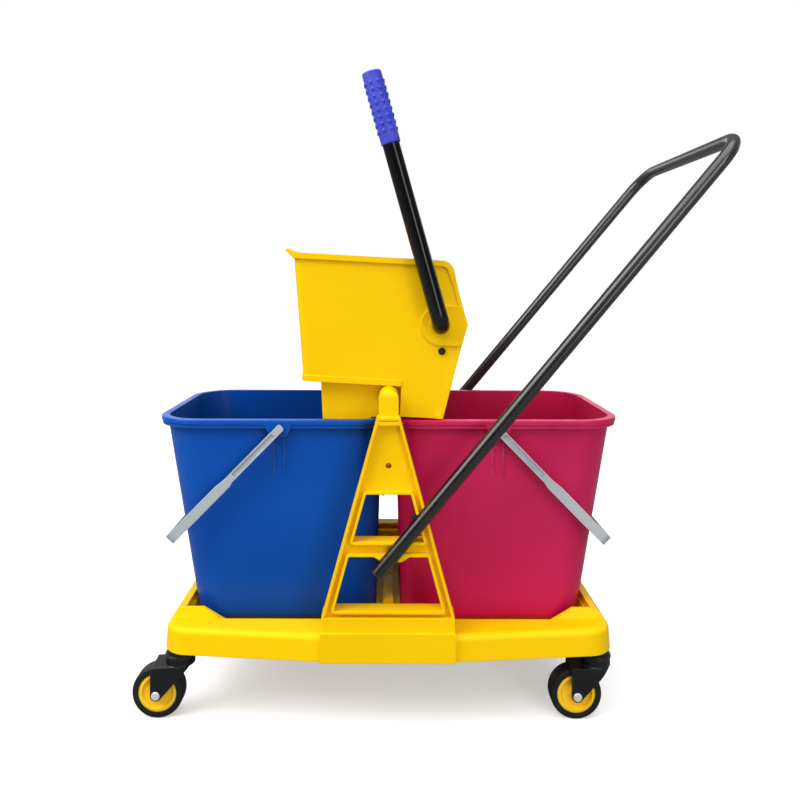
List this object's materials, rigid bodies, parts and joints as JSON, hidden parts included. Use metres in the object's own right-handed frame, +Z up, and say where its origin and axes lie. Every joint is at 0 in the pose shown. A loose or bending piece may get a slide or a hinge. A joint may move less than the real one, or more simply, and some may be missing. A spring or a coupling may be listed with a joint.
{
  "type": "mop bucket with wringer",
  "caption": "Double-bucket mop trolley: two bail-handled buckets in a castered tray, A-frame stands, a push handle and a geared wringer whose lever swings a press plate down.",
  "frame": {"origin": "on the floor under the middle of the base, between the two buckets", "axes": "+X toward the push handle and the red bucket, +Y away from the lever side, +Z up"},
  "size_m": [0.9, 0.43, 0.9641],
  "materials": {
    "yellow_plastic": "moulded, slight gloss",
    "blue_plastic": "moulded, slight gloss",
    "red_plastic": "moulded, slight gloss",
    "grey_plastic": "satin",
    "black_paint": "powder coat, semi-gloss",
    "black_plastic": "satin",
    "grip_rubber": "soft, nubbed",
    "tyre_rubber": "matt",
    "zinc_steel": "zinc plated",
    "black_steel": "black oxide",
    "white_nylon": "satin"
  },
  "bodies": {
    "trolley": {"base_deck": "yellow_plastic", "front_stand": "yellow_plastic", "rear_stand": "yellow_plastic", "stand_screws": "zinc_steel", "push_handle": "black_paint", "handle_buttons": "black_plastic", "handle_plugs": "black_plastic", "handle_screws": "black_steel", "blue_bucket": "blue_plastic", "red_bucket": "red_plastic", "caster_stems": "black_plastic"},
    "wringer": {"wringer_shell": "yellow_plastic", "shaft_bushes": "yellow_plastic", "plate_pivots": "black_steel"},
    "lever": {"lever_tube": "black_paint", "lever_grip": "grip_rubber", "shaft_cap": "black_plastic", "pinion_front": "white_nylon", "pinion_rear": "white_nylon", "pinion_pins": "zinc_steel"},
    "press_plate": {"press_plate": "yellow_plastic", "plate_gear_front": "white_nylon", "plate_gear_rear": "white_nylon", "plate_screws": "zinc_steel"},
    "blue_bail": {"blue_bail": "grey_plastic"},
    "red_bail": {"red_bail": "grey_plastic"},
    "caster_fl": {"caster_fork_fl": "black_plastic", "caster_axle_fl": "zinc_steel"},
    "wheel_fl": {"wheel_hub_fl": "yellow_plastic", "wheel_tyre_fl": "tyre_rubber"},
    "caster_fr": {"caster_fork_fr": "black_plastic", "caster_axle_fr": "zinc_steel"},
    "wheel_fr": {"wheel_hub_fr": "yellow_plastic", "wheel_tyre_fr": "tyre_rubber"},
    "caster_rl": {"caster_fork_rl": "black_plastic", "caster_axle_rl": "zinc_steel"},
    "wheel_rl": {"wheel_hub_rl": "yellow_plastic", "wheel_tyre_rl": "tyre_rubber"},
    "caster_rr": {"caster_fork_rr": "black_plastic", "caster_axle_rr": "zinc_steel"},
    "wheel_rr": {"wheel_hub_rr": "yellow_plastic", "wheel_tyre_rr": "tyre_rubber"}
  },
  "joints": [
    {"name": "caster_swivel_fl", "type": "hinge", "parent": "trolley", "child": "caster_fl", "pos_m": [-0.312, -0.15, 0], "axis": [0, 0, 1], "continuous": true},
    {"name": "wheel_spin_fl", "type": "hinge", "parent": "caster_fl", "child": "wheel_fl", "pos_m": [-0.3435, -0.15, 0.038], "axis": [0, 1, 0], "continuous": true},
    {"name": "caster_swivel_fr", "type": "hinge", "parent": "trolley", "child": "caster_fr", "pos_m": [0.312, -0.15, 0], "axis": [0, 0, 1], "continuous": true},
    {"name": "wheel_spin_fr", "type": "hinge", "parent": "caster_fr", "child": "wheel_fr", "pos_m": [0.2805, -0.15, 0.038], "axis": [0, 1, 0], "continuous": true},
    {"name": "caster_swivel_rl", "type": "hinge", "parent": "trolley", "child": "caster_rl", "pos_m": [-0.312, 0.15, 0], "axis": [0, 0, 1], "continuous": true},
    {"name": "wheel_spin_rl", "type": "hinge", "parent": "caster_rl", "child": "wheel_rl", "pos_m": [-0.3435, 0.15, 0.038], "axis": [0, 1, 0], "continuous": true},
    {"name": "caster_swivel_rr", "type": "hinge", "parent": "trolley", "child": "caster_rr", "pos_m": [0.312, 0.15, 0], "axis": [0, 0, 1], "continuous": true},
    {"name": "wheel_spin_rr", "type": "hinge", "parent": "caster_rr", "child": "wheel_rr", "pos_m": [0.2805, 0.15, 0.038], "axis": [0, 1, 0], "continuous": true},
    {"name": "blue_bail_swing", "type": "hinge", "parent": "trolley", "child": "blue_bail", "pos_m": [-0.166, 0, 0.428], "axis": [0, 1, 0], "range_deg": [0, 135.5]},
    {"name": "red_bail_swing", "type": "hinge", "parent": "trolley", "child": "red_bail", "pos_m": [0.166, 0, 0.428], "axis": [0, -1, 0], "range_deg": [0, 135.5]},
    {"name": "wringer_lift", "type": "slide", "parent": "trolley", "child": "wringer", "axis": [0, 0, 1], "range_m": [0, 0.15]},
    {"name": "lever_press", "type": "hinge", "parent": "wringer", "child": "lever", "pos_m": [0.0782, 0, 0.58553], "axis": [0, 1, 0], "range_deg": [0, 105]},
    {"name": "plate_press", "type": "hinge", "parent": "wringer", "child": "press_plate", "pos_m": [0.08017, 0, 0.54658], "axis": [0, 1, 0], "range_deg": [-105, 0]}
  ],
  "couplings": [
    {"joint": "plate_press", "follows": "lever_press", "ratio": -1}
  ]
}
